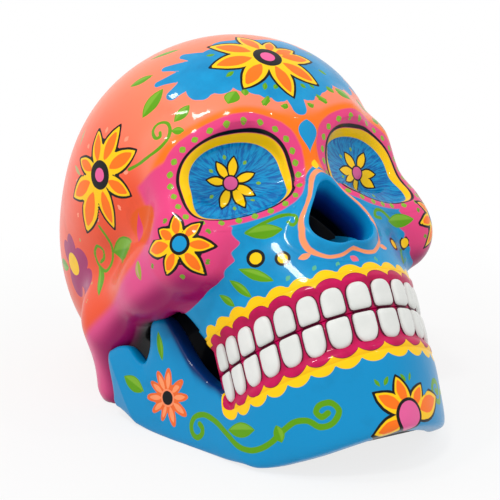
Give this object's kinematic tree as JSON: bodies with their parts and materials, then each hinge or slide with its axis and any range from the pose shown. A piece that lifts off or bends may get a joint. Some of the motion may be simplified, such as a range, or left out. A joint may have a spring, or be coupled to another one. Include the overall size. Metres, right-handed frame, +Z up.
{
  "type": "skull ornament",
  "caption": "Glossy hand-painted ceramic skull with clenched teeth, lying tipped back on its jaw and the back of its head; a table or shelf ornament.",
  "frame": {"origin": "on the table under the middle of the ornament's box", "axes": "+Z up, +Y towards the back of the head, +X to the skull's own left"},
  "size_m": [0.148, 0.2334, 0.1628],
  "materials": {
    "cranium_paint": "gloss varnish over hand-painted coral, pink and blue",
    "jaw_paint": "gloss varnish over hand-painted blue",
    "base_paint": "dark paint, satin",
    "gum_paint": "gloss varnish over magenta",
    "tooth_paint": "gloss varnish over ivory white",
    "eye_paint": "gloss varnish over blue strokes and a flower"
  },
  "bodies": {
    "root": {"cranium": "cranium_paint", "lower_jaw": "jaw_paint", "skull_base": "base_paint", "upper_gum": "gum_paint", "lower_gum": "gum_paint", "eye_dish_left": "eye_paint", "eye_dish_right": "eye_paint", "upper_tooth_01": "tooth_paint", "upper_tooth_02": "tooth_paint", "upper_tooth_03": "tooth_paint", "upper_tooth_04": "tooth_paint", "upper_tooth_05": "tooth_paint", "upper_tooth_06": "tooth_paint", "upper_tooth_07": "tooth_paint", "upper_tooth_08": "tooth_paint", "upper_tooth_09": "tooth_paint", "upper_tooth_10": "tooth_paint", "upper_tooth_11": "tooth_paint", "upper_tooth_12": "tooth_paint", "upper_tooth_13": "tooth_paint", "upper_tooth_14": "tooth_paint", "upper_tooth_15": "tooth_paint", "upper_tooth_16": "tooth_paint", "lower_tooth_01": "tooth_paint", "lower_tooth_02": "tooth_paint", "lower_tooth_03": "tooth_paint", "lower_tooth_04": "tooth_paint", "lower_tooth_05": "tooth_paint", "lower_tooth_06": "tooth_paint", "lower_tooth_07": "tooth_paint", "lower_tooth_08": "tooth_paint", "lower_tooth_09": "tooth_paint", "lower_tooth_10": "tooth_paint", "lower_tooth_11": "tooth_paint", "lower_tooth_12": "tooth_paint", "lower_tooth_13": "tooth_paint", "lower_tooth_14": "tooth_paint", "lower_tooth_15": "tooth_paint", "lower_tooth_16": "tooth_paint"}
  },
  "joints": []
}
